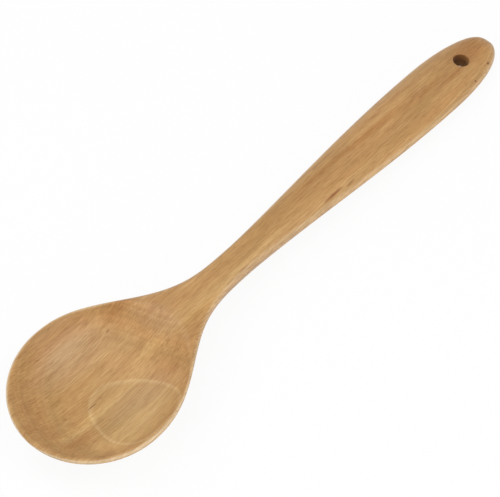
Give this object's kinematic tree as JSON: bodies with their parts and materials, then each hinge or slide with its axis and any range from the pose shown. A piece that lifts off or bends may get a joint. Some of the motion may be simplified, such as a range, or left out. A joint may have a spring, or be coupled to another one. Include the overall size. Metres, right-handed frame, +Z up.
{
  "type": "wooden spoon",
  "caption": "One-piece carved wooden cooking spoon with a round hollowed bowl, a slim neck and a flat widening handle with a hanging hole.",
  "frame": {"origin": "centre of the spoon's footprint on the table it lies on, with the hollow facing up", "axes": "+X along the spoon from the bowl towards the handle's end, +Y to the left of the handle, +Z up"},
  "size_m": [0.2996, 0.0698, 0.0195],
  "materials": {
    "beech": "oiled satin"
  },
  "bodies": {
    "root": {"spoon": "beech"}
  },
  "joints": []
}
